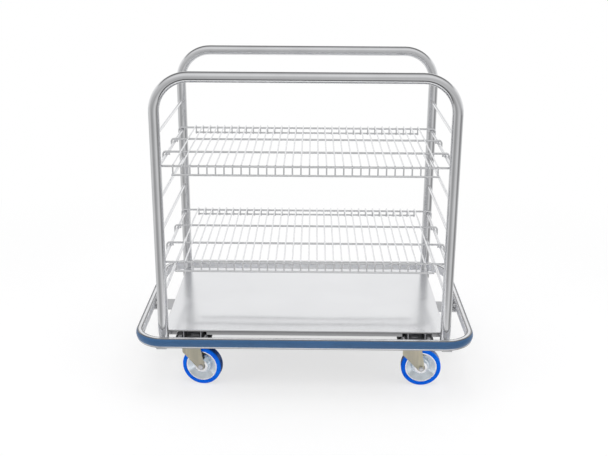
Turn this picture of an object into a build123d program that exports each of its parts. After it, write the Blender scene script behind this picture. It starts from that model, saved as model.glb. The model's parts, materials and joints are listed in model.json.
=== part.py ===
from build123d import *
import os
from math import cos, radians, sin

os.makedirs("parts", exist_ok=True)

# Open case cart. Millimetres, X across the cart, Y towards its rear, Z up.
# The origin is on the floor under the middle of the cart.

# Clearances
weld_gap = 0.02
hang_gap = 0.3
running_gap = 0.05
bolt_hole_clearance = 0.4
slot_clearance = 0.3
insert_gap = 0.3

# Tube frames
post_spacing_x = 870.0
post_spacing_y = 580.0
tube_diameter = 31.75
tube_wall = 1.65
tube_bend_radius = 101.6
frame_rise = 790.0

# Side rods
rod_diameter = 9.5
rod_count = 6
rod_pitch = 100.0
top_rod_drop = 174.0

# Deck
deck_overhang = 3.0
deck_thickness = 2.0
deck_flange = 15.0
deck_corner_radius = 2.5
deck_edge_radius = 2.4
deck_notch_width = 92.0

# Rails under the deck: hat sections with their flanges down
rail_washer_clearance = 0.6
rail_flange_width = 114.0
rail_height = 42.0
rail_wall = 3.0
rail_end_inset = 4.0

# Stiffeners across the deck, between the rails: hat sections with their flanges up
stiffener_body_width = 60.0
stiffener_flange_width = 96.0
stiffener_wall = 2.5
stiffener_spacing = 190.0
stiffener_count = 3

# Bumper channel, open outwards, and the vinyl strip in it. Its reaches are from the posts' middles.
bumper_reach_x = 87.0
bumper_reach_y = 60.0
bumper_corner = 95.0
bumper_rise = 4.0
channel_height = 31.0
channel_depth = 17.0
channel_wall = 1.5
channel_lip = 4.5
channel_bend_radius = 2.4
bumper_seam = 0.6
insert_root = 7.3
nose_projection = 3.5
nose_height = 24.0
nose_rise = 2.5

# Bars and brackets that carry the bumper
support_thickness = 5.0
cross_bar_width = 80.0
bar_end_inset = 3.0
corner_bracket_width = 32.0
bracket_post_overhang = 2.0
bracket_end_inset = 5.0
bracket_corner_radius = 4.0
angle_width = 92.0
angle_leg = 24.0
angle_foot = 28.0
angle_wall = 3.0

# Bolts that hold the bumper
bumper_bolt_diameter = 8.0
bumper_bolt_across_flats = 13.0
bumper_bolt_head = 5.3
web_bolt_spacing = 68.0
web_bolt_rise = 14.0
web_nut_height = 4.0
foot_bolt_spacing = 40.0
foot_bolt_inset = 17.0
foot_nut_height = 6.5
bumper_bolt_stub = 1.0
hex_chamfer = 0.7

# Wire shelves
upper_shelf_rod = 2
lower_shelf_rod = 5
long_wire_diameter = 6.5
long_wire_count = 4
outer_wire_inset = 20.9
hook_tail = 18.0
hook_play = 2.7
hook_stub = 10.0
hook_stub_diameter = 5.5
cross_wire_diameter = 4.5
cross_wire_bend = 5.5
cross_wire_overhang = 15.0
cross_wire_pitch = 25.0
cross_wire_margin = 47.0
lip_wire_diameter = 6.0
lip_overhang = 3.5
lip_drop = 30.0

# Casters. Their insets are from the posts' middles.
caster_inset_x = 85.0
caster_inset_y = 82.0
caster_height = 165.0
caster_trail = 24.0
plate_width = 101.6
plate_length = 114.3
plate_thickness = 4.0
plate_corner_radius = 9.0
caster_bolt_spacing = 76.2
caster_bolt_diameter = 9.5
caster_bolt_across_flats = 14.3
caster_bolt_head = 5.5
caster_nut_height = 8.0
caster_bolt_stub = 3.4
washer_diameter = 19.0
washer_thickness = 1.6

# Swivel bearing
race_radius = 25.4
race_width = 11.0
race_opening = 1.6
race_ball_diameter = 6.35
race_ball_count = 20
kingpin_diameter = 12.7
kingpin_head_diameter = 26.0
kingpin_head_height = 4.0
kingpin_foot_diameter = 24.0
kingpin_foot_height = 7.0
kingpin_end_gap = 0.25

# Fork, pressed from one sheet
fork_thickness = 4.0
fork_bend_radius = 4.0
crown_drop = 11.2
crown_radius = 34.0
leg_back = 36.0
leg_front = 20.0
leg_shoulder_drop = 44.0
axle_boss_radius = 11.0

# Wheel
wheel_diameter = 127.0
wheel_width = 32.0
tread_thickness = 12.5
tread_corner_radius = 5.0
core_width = 29.0
rim_lip = 3.5
web_thickness = 9.0
web_flat_width = 6.0
hub_diameter = 42.0
hub_length = 34.0
core_edge_radius = 1.2
bearing_diameter = 26.0
bearing_length = 36.0
bearing_side_gap = 0.5

# Axle
axle_diameter = 9.5
axle_head_diameter = 17.0
axle_head_height = 5.0
axle_head_radius = 3.8
axle_nut_across_flats = 14.3
axle_nut_height = 5.5
nut_collar_diameter = 12.6
nut_collar_height = 2.5
axle_stub = 2.0

# Direction that each caster trails at rest, in degrees from +X towards the rear
rest_swivel = {"fl": -11.0, "fr": -2.0, "rl": -20.0, "rr": 14.0}
# Side of the wheel that the bolt's head is on: -1 for the near side at rest
head_side = {"fl": -1, "fr": 1, "rl": -1, "rr": 1}
corners = {"fl": (-1, -1), "fr": (1, -1), "rl": (-1, 1), "rr": (1, 1)}

# Heights that follow from the sizes above
rail_bottom = caster_height
rail_top = rail_bottom + rail_height
deck_top = rail_top + deck_thickness
top_bar_height = deck_top + frame_rise
bumper_top = deck_top + bumper_rise
bumper_bottom = bumper_top - channel_height
support_bottom = bumper_bottom - support_thickness
plate_bottom = caster_height - plate_thickness
crown_top = caster_height - crown_drop
crown_bottom = crown_top - fork_thickness
race_height = crown_top + race_opening / 2

# Places that follow from the sizes above
post_x = post_spacing_x / 2
post_y = post_spacing_y / 2
tube_radius = tube_diameter / 2
rod_radius = rod_diameter / 2
deck_width = post_spacing_x + 2 * deck_overhang
deck_depth = post_spacing_y - tube_diameter - 2 * weld_gap
rail_length = deck_depth - 2 * deck_thickness - 2 * rail_end_inset
rail_body_width = caster_bolt_spacing - washer_diameter - 2 * rail_washer_clearance
bumper_x = post_x + bumper_reach_x
bumper_y = post_y + bumper_reach_y
web_x = bumper_x - channel_depth
long_wire_spacing = 2 * (post_y - outer_wire_inset) / (long_wire_count - 1)
cross_wire_count = int((post_spacing_x - 2 * cross_wire_margin) / cross_wire_pitch) + 1
caster_x = post_x - caster_inset_x
caster_y = post_y - caster_inset_y
wheel_radius = wheel_diameter / 2
leg_gap = bearing_length / 2 + bearing_side_gap


def save(piece, name):
    piece.part.label = name
    export_step(piece.part, f"parts/{name}.step")


def hexagon(across_flats):
    RegularPolygon(across_flats / 2, 6, major_radius=False)


def spread(count, pitch):
    """Places of a row that is centred on 0."""
    return [(n - (count - 1) / 2) * pitch for n in range(count)]


# Tube frames: each is one tube, bent twice, with its ends on the corner brackets
def build_frame_tube(name, y):
    with BuildPart() as frame_tube:
        with BuildLine(Plane.XZ.offset(-y)) as route:
            FilletPolyline(
                (-post_x, bumper_bottom),
                (-post_x, top_bar_height),
                (post_x, top_bar_height),
                (post_x, bumper_bottom),
                radius=tube_bend_radius,
            )
        with BuildSketch(Plane(origin=(-post_x, y, bumper_bottom), z_dir=(0, 0, 1))):
            Circle(tube_radius)
            Circle(tube_radius - tube_wall, mode=Mode.SUBTRACT)
        sweep(path=route.line)
    save(frame_tube, name)


build_frame_tube("front_frame_tube", -post_y)
build_frame_tube("rear_frame_tube", post_y)


# Side rods: the ends are cut to the round of the posts and welded there
def rod_height(number):
    """Height of a side rod, counted from 1 at the top."""
    return top_bar_height - top_rod_drop - (number - 1) * rod_pitch


def build_side_rods(name, x):
    with BuildPart() as side_rods:
        with BuildSketch(Plane.XZ):
            with Locations(*[(x, rod_height(n + 1)) for n in range(rod_count)]):
                Circle(rod_radius)
        extrude(amount=post_y, both=True)
        with BuildSketch(Plane.XY):
            with Locations((x, -post_y), (x, post_y)):
                Circle(tube_radius + weld_gap)
        extrude(amount=top_bar_height, mode=Mode.SUBTRACT)
    save(side_rods, name)


build_side_rods("left_side_rods", -post_x)
build_side_rods("right_side_rods", post_x)


# Deck: a pan with its edges turned down, notched where the caster nuts are reached
with BuildPart() as deck_pan:
    with BuildSketch(Plane.XY.offset(deck_top)):
        RectangleRounded(deck_width, deck_depth, deck_corner_radius)
    extrude(amount=-deck_flange)
    fillet(deck_pan.faces().sort_by(Axis.Z)[-1].edges(), radius=deck_edge_radius)
    offset(amount=-deck_thickness, openings=deck_pan.faces().sort_by(Axis.Z)[0])
    with BuildSketch(Plane.XY.offset(deck_top - deck_thickness - deck_edge_radius)):
        with GridLocations(2 * caster_x, deck_depth, 2, 2):
            Rectangle(deck_notch_width, 4 * deck_thickness)
    extrude(amount=-deck_flange, mode=Mode.SUBTRACT)
save(deck_pan, "deck_pan")


def hat_outline(body_width, flange_width, height, wall):
    """Outline of a hat section, its flanges on the local x axis and its body along +y."""
    Polyline(
        (0, height),
        (body_width / 2, height),
        (body_width / 2, wall),
        (flange_width / 2, wall),
        (flange_width / 2, 0),
        (body_width / 2 - wall, 0),
        (body_width / 2 - wall, height - wall),
        (0, height - wall),
    )
    mirror(about=Plane.YZ)


# Rails: they run front to rear, and the cross bar goes through slots in their walls
def build_base_rail(name, x):
    with BuildPart() as base_rail:
        with BuildSketch(Plane(origin=(x, 0, rail_bottom), x_dir=(1, 0, 0), z_dir=(0, -1, 0))):
            with BuildLine():
                hat_outline(rail_body_width, rail_flange_width, rail_height, rail_wall)
            make_face()
        extrude(amount=rail_length / 2, both=True)
        with BuildSketch(Plane.YZ.offset(x)):
            with Locations((0, support_bottom + support_thickness / 2)):
                Rectangle(cross_bar_width + 2 * slot_clearance, support_thickness + 2 * slot_clearance)
        extrude(amount=rail_body_width, both=True, mode=Mode.SUBTRACT)
        with BuildSketch(Plane.XY.offset(rail_bottom)):
            with Locations((x, -caster_y), (x, caster_y)):
                with GridLocations(caster_bolt_spacing, caster_bolt_spacing, 2, 2):
                    Circle(caster_bolt_diameter / 2 + bolt_hole_clearance)
        extrude(amount=rail_wall, mode=Mode.SUBTRACT)
    save(base_rail, name)


build_base_rail("left_base_rail", -caster_x)
build_base_rail("right_base_rail", caster_x)

# Stiffeners: welded to the underside of the deck, the middle one to the cross bar too
stiffener_planes = [
    Plane(origin=(0, y, rail_top), x_dir=(0, 1, 0), z_dir=(-1, 0, 0))
    for y in spread(stiffener_count, stiffener_spacing)
]
with BuildPart() as deck_stiffeners:
    with BuildSketch(*stiffener_planes):
        with BuildLine():
            hat_outline(
                stiffener_body_width,
                stiffener_flange_width,
                rail_top - bumper_bottom,
                stiffener_wall,
            )
        make_face()
    extrude(amount=caster_x - rail_body_width / 2 - weld_gap, both=True)
save(deck_stiffeners, "deck_stiffeners")

# Places of the bumper's bolts, through the web and through the feet of its brackets
web_bolt_spots = [(y, bumper_bottom + web_bolt_rise) for y in spread(2, web_bolt_spacing)]
foot_bolt_x = web_x - foot_bolt_inset
foot_bolt_spots = [(foot_bolt_x, y) for y in spread(2, foot_bolt_spacing)]

# Cross bar: one flat bar under the deck that carries both sides of the bumper
with BuildPart() as bumper_cross_bar:
    with BuildSketch(Plane.XY.offset(support_bottom)):
        Rectangle(2 * (bumper_x - bar_end_inset), cross_bar_width)
        with GridLocations(2 * foot_bolt_x, foot_bolt_spacing, 2, 2):
            Circle(bumper_bolt_diameter / 2 + bolt_hole_clearance, mode=Mode.SUBTRACT)
    extrude(amount=support_thickness)
save(bumper_cross_bar, "bumper_cross_bar")

# Corner brackets: each closes the foot of a post and reaches out under the bumper
bracket_start = post_y - tube_radius - bracket_post_overhang
bracket_end = bumper_y - bracket_end_inset
with BuildPart() as corner_brackets:
    with BuildSketch(Plane.XY.offset(support_bottom)):
        with GridLocations(post_spacing_x, bracket_start + bracket_end, 2, 2):
            RectangleRounded(
                corner_bracket_width,
                bracket_end - bracket_start,
                bracket_corner_radius,
            )
    extrude(amount=support_thickness)
save(corner_brackets, "corner_brackets")


def bumper_route():
    """The bumper's outer line, from the seam in its right side round to the seam again."""
    return FilletPolyline(
        (bumper_x, -bumper_seam / 2),
        (bumper_x, -bumper_y),
        (-bumper_x, -bumper_y),
        (-bumper_x, bumper_y),
        (bumper_x, bumper_y),
        (bumper_x, bumper_seam / 2),
        radius=bumper_corner,
    )


# Bumper channel: a rolled section with a web, two flanges and two short lips
half_wall = channel_wall / 2
with BuildPart() as bumper_channel:
    with BuildLine(Plane.XY) as channel_route:
        bumper_route()
    with BuildSketch(Plane.XZ.offset(bumper_seam / 2)):
        with BuildLine() as channel_line:
            FilletPolyline(
                (bumper_x - half_wall, bumper_top - channel_wall - channel_lip),
                (bumper_x - half_wall, bumper_top - half_wall),
                (web_x + half_wall, bumper_top - half_wall),
                (web_x + half_wall, bumper_bottom + half_wall),
                (bumper_x - half_wall, bumper_bottom + half_wall),
                (bumper_x - half_wall, bumper_bottom + channel_wall + channel_lip),
                radius=channel_bend_radius - half_wall,
            )
        trace(line_width=channel_wall)
    sweep(path=channel_route.line)
    with BuildSketch(Plane.YZ.offset(-bumper_x)):
        with Locations(*web_bolt_spots):
            Circle(bumper_bolt_diameter / 2 + bolt_hole_clearance)
    extrude(amount=2 * bumper_x, mode=Mode.SUBTRACT)
save(bumper_channel, "bumper_channel")

# Bumper insert: its root fills the channel behind the lips, its nose stands proud
bumper_middle = bumper_bottom + channel_height / 2
root_half = channel_height / 2 - channel_wall - insert_gap
neck_half = root_half - channel_lip
nose_top = nose_rise + nose_height / 2
nose_bottom = nose_rise - nose_height / 2
lip_back = bumper_x - channel_wall - insert_gap
insert_start = (0, -bumper_seam / 2, bumper_middle)
insert_plane = Plane(origin=insert_start, x_dir=(1, 0, 0), z_dir=(0, -1, 0))
with BuildPart() as bumper_insert:
    with BuildLine(Plane.XY) as insert_route:
        bumper_route()
    with BuildSketch(insert_plane):
        with BuildLine():
            Polyline(
                (bumper_x + insert_gap, nose_top),
                (bumper_x + insert_gap, neck_half),
                (lip_back, neck_half),
                (lip_back, root_half),
                (lip_back - insert_root, root_half),
                (lip_back - insert_root, -root_half),
                (lip_back, -root_half),
                (lip_back, -neck_half),
                (bumper_x + insert_gap, -neck_half),
                (bumper_x + insert_gap, nose_bottom),
            )
            ThreePointArc(
                (bumper_x + insert_gap, nose_bottom),
                (bumper_x + nose_projection, nose_rise),
                (bumper_x + insert_gap, nose_top),
            )
        make_face()
    sweep(path=insert_route.line)
save(bumper_insert, "bumper_insert")

# Angle brackets: they bolt the channel to the ends of the cross bar
with BuildPart() as bumper_angle_brackets:
    with BuildSketch(Plane.XZ):
        with BuildLine():
            Polyline(
                (web_x, bumper_bottom),
                (web_x, bumper_bottom + angle_leg),
                (web_x - angle_wall, bumper_bottom + angle_leg),
                (web_x - angle_wall, bumper_bottom + angle_wall),
                (web_x - angle_foot, bumper_bottom + angle_wall),
                (web_x - angle_foot, bumper_bottom),
                close=True,
            )
        make_face()
    extrude(amount=angle_width / 2, both=True)
    mirror(about=Plane.YZ)
    with BuildSketch(Plane.YZ.offset(-bumper_x)):
        with Locations(*web_bolt_spots):
            Circle(bumper_bolt_diameter / 2 + bolt_hole_clearance)
    extrude(amount=2 * bumper_x, mode=Mode.SUBTRACT)
    with BuildSketch(Plane.XY.offset(bumper_bottom)):
        with GridLocations(2 * foot_bolt_x, foot_bolt_spacing, 2, 2):
            Circle(bumper_bolt_diameter / 2 + bolt_hole_clearance)
    extrude(amount=angle_wall, mode=Mode.SUBTRACT)
save(bumper_angle_brackets, "bumper_angle_brackets")

# Bumper bolts: two through each side of the web and two through each foot
web_bolt_start = web_x - angle_wall
web_nut_start = web_x + channel_wall
foot_bolt_start = bumper_bottom + angle_wall
with BuildPart() as bumper_bolts:
    with BuildSketch(Plane.YZ.offset(web_bolt_start - bumper_bolt_head)):
        with Locations(*web_bolt_spots):
            hexagon(bumper_bolt_across_flats)
    extrude(amount=bumper_bolt_head)
    chamfer(bumper_bolts.faces().group_by(Axis.X)[0].edges(), length=hex_chamfer)
    with BuildSketch(Plane.YZ.offset(web_bolt_start)):
        with Locations(*web_bolt_spots):
            Circle(bumper_bolt_diameter / 2)
    extrude(amount=angle_wall + channel_wall + web_nut_height + bumper_bolt_stub)
    with BuildSketch(Plane.XY.offset(foot_bolt_start)):
        with Locations(*foot_bolt_spots):
            hexagon(bumper_bolt_across_flats)
    extrude(amount=bumper_bolt_head)
    foot_head_top = foot_bolt_start + bumper_bolt_head
    foot_heads = bumper_bolts.faces().filter_by_position(
        Axis.Z, foot_head_top - hex_chamfer / 2, foot_head_top + hex_chamfer / 2
    )
    chamfer(foot_heads.edges(), length=hex_chamfer)
    with BuildSketch(Plane.XY.offset(foot_bolt_start)):
        with Locations(*foot_bolt_spots):
            Circle(bumper_bolt_diameter / 2)
    extrude(amount=-(angle_wall + support_thickness + foot_nut_height + bumper_bolt_stub))
    mirror(about=Plane.YZ)
save(bumper_bolts, "bumper_bolts")

with BuildPart() as bumper_nuts:
    with BuildSketch(Plane.YZ.offset(web_nut_start)):
        with Locations(*web_bolt_spots):
            hexagon(bumper_bolt_across_flats)
            Circle(bumper_bolt_diameter / 2 + weld_gap, mode=Mode.SUBTRACT)
    extrude(amount=web_nut_height)
    with BuildSketch(Plane.XY.offset(support_bottom)):
        with Locations(*foot_bolt_spots):
            hexagon(bumper_bolt_across_flats)
            Circle(bumper_bolt_diameter / 2 + weld_gap, mode=Mode.SUBTRACT)
    extrude(amount=-foot_nut_height)
    mirror(about=Plane.YZ)
save(bumper_nuts, "bumper_nuts")


# Shelves: long wires hooked over the side rods, with cross wires on top of them
def build_long_wires(name, rod_z):
    hook_radius = rod_radius + hang_gap + long_wire_diameter / 2
    tail_x = post_x + hook_radius + hook_play
    stub_x = post_x - hook_radius
    with BuildPart() as long_wires:
        for y in spread(long_wire_count, long_wire_spacing):
            with BuildLine(Plane.XZ.offset(-y)) as route:
                FilletPolyline(
                    (-tail_x, rod_z - hook_tail),
                    (-tail_x, rod_z + hook_radius),
                    (tail_x, rod_z + hook_radius),
                    (tail_x, rod_z - hook_tail),
                    radius=hook_radius,
                )
            with BuildSketch(Plane(origin=(-tail_x, y, rod_z - hook_tail), z_dir=(0, 0, 1))):
                Circle(long_wire_diameter / 2)
            sweep(path=route.line)
            with BuildSketch(Plane.XY.offset(rod_z + hook_radius)):
                with Locations((-stub_x, y), (stub_x, y)):
                    Circle(hook_stub_diameter / 2)
            extrude(amount=-hook_stub)
    save(long_wires, name)
    return rod_z + hook_radius


# Cross wires: each end runs out past the outer long wire and is bent down to a lip wire
wire_contact = (long_wire_diameter + cross_wire_diameter) / 2 + weld_gap
lip_leg_y = spread(long_wire_count, long_wire_spacing)[-1] + cross_wire_overhang


def build_cross_wires(name, top_z):
    with BuildPart() as cross_wires:
        for x in spread(cross_wire_count, cross_wire_pitch):
            with BuildLine(Plane.YZ.offset(x)) as route:
                FilletPolyline(
                    (-lip_leg_y, top_z - lip_drop),
                    (-lip_leg_y, top_z),
                    (lip_leg_y, top_z),
                    (lip_leg_y, top_z - lip_drop),
                    radius=cross_wire_bend,
                )
            leg_end = (x, -lip_leg_y, top_z - lip_drop)
            with BuildSketch(Plane(origin=leg_end, z_dir=(0, 0, 1))):
                Circle(cross_wire_diameter / 2)
            sweep(path=route.line)
    save(cross_wires, name)


def build_lip_wires(name, top_z):
    lip_y = lip_leg_y + (cross_wire_diameter + lip_wire_diameter) / 2 + weld_gap
    lip_z = top_z - lip_drop + lip_wire_diameter / 2
    lip_half_length = (cross_wire_count - 1) * cross_wire_pitch / 2 + lip_overhang
    with BuildPart() as lip_wires:
        with BuildSketch(Plane.YZ):
            with Locations((-lip_y, lip_z), (lip_y, lip_z)):
                Circle(lip_wire_diameter / 2)
        extrude(amount=lip_half_length, both=True)
    save(lip_wires, name)


for shelf, rod_number in (("upper", upper_shelf_rod), ("lower", lower_shelf_rod)):
    long_wire_z = build_long_wires(f"{shelf}_long_wires", rod_height(rod_number))
    build_cross_wires(f"{shelf}_cross_wires", long_wire_z + wire_contact)
    build_lip_wires(f"{shelf}_lip_wires", long_wire_z + wire_contact)


class CasterPlace:
    """Where one caster stands, and planes that turn with the way it trails at rest."""

    def __init__(self, name):
        side, end = corners[name]
        turn = radians(rest_swivel[name])
        along = Vector(cos(turn), sin(turn), 0)
        across = Vector(-sin(turn), cos(turn), 0)
        self.foot = Vector(side * caster_x, end * caster_y, 0)
        self.hub = self.foot + along * caster_trail + Vector(0, 0, wheel_radius)
        self.swivel_axis = Axis(self.foot, (0, 0, 1))
        self.wheel_axis = Axis(self.hub, across)
        self.level_plane = Plane(origin=self.foot, x_dir=along, z_dir=(0, 0, 1))
        self.side_plane = Plane(origin=self.foot, x_dir=along, z_dir=-across)
        self.end_plane = Plane(origin=self.foot, x_dir=across, z_dir=along)
        self.wheel_plane = Plane(origin=self.hub, x_dir=across, z_dir=along)
        self.bolt_plane = Plane(origin=self.hub, x_dir=along, z_dir=across * head_side[name])

    def spot(self, height):
        """A level plane over the caster, square to the cart."""
        return Plane(origin=self.foot + Vector(0, 0, height), z_dir=(0, 0, 1))


# Caster plate: bolted under the rail, with the upper race welded to it
def build_caster_plate(name, place):
    race_depth = plate_bottom - crown_top - race_opening
    with BuildPart() as caster_plate:
        with BuildSketch(place.spot(plate_bottom)):
            RectangleRounded(plate_width, plate_length, plate_corner_radius)
            with GridLocations(caster_bolt_spacing, caster_bolt_spacing, 2, 2):
                Circle(caster_bolt_diameter / 2 + bolt_hole_clearance, mode=Mode.SUBTRACT)
        extrude(amount=plate_thickness)
        with BuildSketch(place.spot(plate_bottom)):
            Circle(race_radius + race_width / 2)
            Circle(race_radius - race_width / 2, mode=Mode.SUBTRACT)
        extrude(amount=-race_depth)
        with BuildSketch(place.spot(plate_bottom)):
            Circle(kingpin_diameter / 2 + running_gap)
        extrude(amount=plate_thickness, mode=Mode.SUBTRACT)
        with BuildSketch(place.end_plane):
            with Locations((race_radius, race_height)):
                Circle(race_ball_diameter / 2 + running_gap)
        revolve(axis=place.swivel_axis, mode=Mode.SUBTRACT)
    save(caster_plate, name)


# Kingpin: riveted to the plate, its foot holds the fork up under the balls
def build_kingpin(name, place):
    foot_top = crown_bottom - kingpin_end_gap
    with BuildPart() as kingpin:
        with BuildSketch(place.spot(caster_height)):
            Circle(kingpin_head_diameter / 2)
        extrude(amount=kingpin_head_height)
        fillet(kingpin.edges().sort_by(Axis.Z)[-1], radius=kingpin_head_height / 3)
        with BuildSketch(place.spot(foot_top)):
            Circle(kingpin_diameter / 2)
        extrude(amount=caster_height - foot_top)
        with BuildSketch(place.spot(foot_top)):
            Circle(kingpin_foot_diameter / 2)
        extrude(amount=-kingpin_foot_height)
        fillet(kingpin.edges().sort_by(Axis.Z)[0], radius=kingpin_foot_height / 3)
    save(kingpin, name)


# Fork: a crown with a leg on each side of the wheel, each narrowing to the axle
def build_fork(name, place):
    leg_line = leg_gap + fork_thickness / 2
    leg_end = wheel_radius - axle_boss_radius - fork_thickness
    with BuildPart() as fork:
        with BuildSketch(place.end_plane.offset(-leg_back)):
            with BuildLine():
                FilletPolyline(
                    (-leg_line, leg_end),
                    (-leg_line, crown_top - fork_thickness / 2),
                    (leg_line, crown_top - fork_thickness / 2),
                    (leg_line, leg_end),
                    radius=fork_bend_radius,
                )
            trace(line_width=fork_thickness)
        extrude(amount=leg_back + caster_trail + axle_boss_radius)
        with BuildSketch(place.side_plane):
            with BuildLine():
                Polyline(
                    (leg_front, crown_top),
                    (-leg_back, crown_top),
                    (-leg_back, crown_top - leg_shoulder_drop),
                )
            with Locations((caster_trail, wheel_radius)):
                Circle(axle_boss_radius)
            make_hull()
        extrude(amount=leg_line + fork_thickness, both=True, mode=Mode.INTERSECT)
        with BuildSketch(place.level_plane.offset(crown_bottom)):
            Circle(crown_radius)
        extrude(amount=fork_thickness)
        with BuildSketch(place.level_plane.offset(crown_bottom)):
            Circle(kingpin_diameter / 2 + running_gap)
        extrude(amount=fork_thickness, mode=Mode.SUBTRACT)
        with BuildSketch(place.end_plane):
            with Locations((race_radius, race_height)):
                Circle(race_ball_diameter / 2 + running_gap)
        revolve(axis=place.swivel_axis, mode=Mode.SUBTRACT)
        with BuildSketch(place.side_plane):
            with Locations((caster_trail, wheel_radius)):
                Circle(axle_diameter / 2 + weld_gap)
        extrude(amount=leg_line + fork_thickness, both=True, mode=Mode.SUBTRACT)
    save(fork, name)


# Axle bolt: a domed head against one leg, its shank through both
leg_face = leg_gap + fork_thickness


def build_axle_bolt(name, place):
    shank = 2 * leg_face + axle_nut_height + nut_collar_height + axle_stub
    with BuildPart() as axle_bolt:
        with BuildSketch(place.bolt_plane.offset(leg_face)):
            Circle(axle_head_diameter / 2)
        extrude(amount=axle_head_height)
        outer_face = axle_bolt.faces().sort_by(Axis(place.hub, place.bolt_plane.z_dir))[-1]
        fillet(outer_face.edges(), radius=axle_head_radius)
        with BuildSketch(place.bolt_plane.offset(leg_face)):
            Circle(axle_diameter / 2)
        extrude(amount=-shank)
        end_face = axle_bolt.faces().sort_by(Axis(place.hub, place.bolt_plane.z_dir))[0]
        chamfer(end_face.edges(), length=hex_chamfer)
    save(axle_bolt, name)


# Axle nut: a hexagon with a round locking collar
def build_axle_nut(name, place):
    with BuildPart() as axle_nut:
        with BuildSketch(place.bolt_plane.offset(-leg_face)):
            hexagon(axle_nut_across_flats)
        extrude(amount=-axle_nut_height)
        with BuildSketch(place.bolt_plane.offset(-leg_face - axle_nut_height)):
            Circle(nut_collar_diameter / 2)
        extrude(amount=-nut_collar_height)
        outer_face = axle_nut.faces().sort_by(Axis(place.hub, place.bolt_plane.z_dir))[0]
        fillet(outer_face.edges(), radius=nut_collar_height / 2)
        with BuildSketch(place.bolt_plane.offset(-leg_face)):
            Circle(axle_diameter / 2 + weld_gap)
        extrude(amount=-(axle_nut_height + nut_collar_height), mode=Mode.SUBTRACT)
    save(axle_nut, name)


# Wheel: a cast core, dished on both faces, in a tyre of soft plastic
core_radius = wheel_radius - tread_thickness - weld_gap
bearing_radius = bearing_diameter / 2


def build_wheel_tread(name, place):
    with BuildPart() as wheel_tread:
        with BuildSketch(place.wheel_plane):
            with BuildLine():
                FilletPolyline(
                    (0, core_radius + weld_gap),
                    (wheel_width / 2, core_radius + weld_gap),
                    (wheel_width / 2, wheel_radius),
                    (0, wheel_radius),
                    radius=[0, tread_corner_radius],
                )
                mirror(about=Plane.YZ)
            make_face()
        revolve(axis=place.wheel_axis)
    save(wheel_tread, name)


def build_wheel_core(name, place):
    hub_radius = hub_diameter / 2
    with BuildPart() as wheel_core:
        with BuildSketch(place.wheel_plane):
            with BuildLine():
                FilletPolyline(
                    (0, bearing_radius + weld_gap),
                    (hub_length / 2, bearing_radius + weld_gap),
                    (hub_length / 2, hub_radius),
                    (web_thickness / 2, hub_radius),
                    (web_thickness / 2, hub_radius + web_flat_width),
                    (core_width / 2, core_radius - rim_lip),
                    (core_width / 2, core_radius),
                    (0, core_radius),
                    radius=[0] + [core_edge_radius] * 5,
                )
                mirror(about=Plane.YZ)
            make_face()
        revolve(axis=place.wheel_axis)
    save(wheel_core, name)


# Wheel bearing: a bush that is pressed into the core and turns on the axle bolt
def build_wheel_bearing(name, place):
    with BuildPart() as wheel_bearing:
        with BuildSketch(place.wheel_plane):
            with Locations((0, (bearing_radius + axle_diameter / 2 + running_gap) / 2)):
                Rectangle(bearing_length, bearing_radius - axle_diameter / 2 - running_gap)
        revolve(axis=place.wheel_axis)
    save(wheel_bearing, name)


for corner in corners:
    caster_place = CasterPlace(corner)
    build_caster_plate(f"{corner}_caster_plate", caster_place)
    build_kingpin(f"{corner}_kingpin", caster_place)
    build_fork(f"{corner}_fork", caster_place)
    build_axle_bolt(f"{corner}_axle_bolt", caster_place)
    build_axle_nut(f"{corner}_axle_nut", caster_place)
    build_wheel_tread(f"{corner}_wheel_tread", caster_place)
    build_wheel_core(f"{corner}_wheel_core", caster_place)
    build_wheel_bearing(f"{corner}_wheel_bearing", caster_place)

# Race balls: one ring of balls between each plate and its fork
with BuildPart() as race_balls:
    for side, end in corners.values():
        with Locations((side * caster_x, end * caster_y, race_height)):
            with PolarLocations(race_radius, race_ball_count):
                Sphere(race_ball_diameter / 2)
save(race_balls, "race_balls")

# Caster bolts: heads under the plates, nuts on washers on the rail flanges
caster_bolt_spots = [
    (side * caster_x + dx, end * caster_y + dy)
    for side, end in corners.values()
    for dx in spread(2, caster_bolt_spacing)
    for dy in spread(2, caster_bolt_spacing)
]
washer_bottom = rail_bottom + rail_wall
nut_bottom = washer_bottom + washer_thickness
with BuildPart() as caster_bolts:
    with BuildSketch(Plane.XY.offset(plate_bottom)):
        with Locations(*caster_bolt_spots):
            hexagon(caster_bolt_across_flats)
    extrude(amount=-caster_bolt_head)
    chamfer(caster_bolts.faces().group_by(Axis.Z)[0].edges(), length=hex_chamfer)
    with BuildSketch(Plane.XY.offset(plate_bottom)):
        with Locations(*caster_bolt_spots):
            Circle(caster_bolt_diameter / 2)
    extrude(amount=nut_bottom + caster_nut_height + caster_bolt_stub - plate_bottom)
    chamfer(caster_bolts.faces().group_by(Axis.Z)[-1].edges(), length=hex_chamfer)
save(caster_bolts, "caster_bolts")

with BuildPart() as caster_washers:
    with BuildSketch(Plane.XY.offset(washer_bottom)):
        with Locations(*caster_bolt_spots):
            Circle(washer_diameter / 2)
            Circle(caster_bolt_diameter / 2 + bolt_hole_clearance, mode=Mode.SUBTRACT)
    extrude(amount=washer_thickness)
save(caster_washers, "caster_washers")

with BuildPart() as caster_nuts:
    with BuildSketch(Plane.XY.offset(nut_bottom)):
        with Locations(*caster_bolt_spots):
            hexagon(caster_bolt_across_flats)
    extrude(amount=caster_nut_height)
    chamfer(caster_nuts.faces().group_by(Axis.Z)[-1].edges(), length=hex_chamfer)
    with BuildSketch(Plane.XY.offset(nut_bottom)):
        with Locations(*caster_bolt_spots):
            Circle(caster_bolt_diameter / 2 + weld_gap)
    extrude(amount=caster_nut_height, mode=Mode.SUBTRACT)
save(caster_nuts, "caster_nuts")
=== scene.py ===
"""Finishes, welds and studio for an open case cart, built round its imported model."""

import json
from math import cos, pi, radians, sin, sqrt

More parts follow.
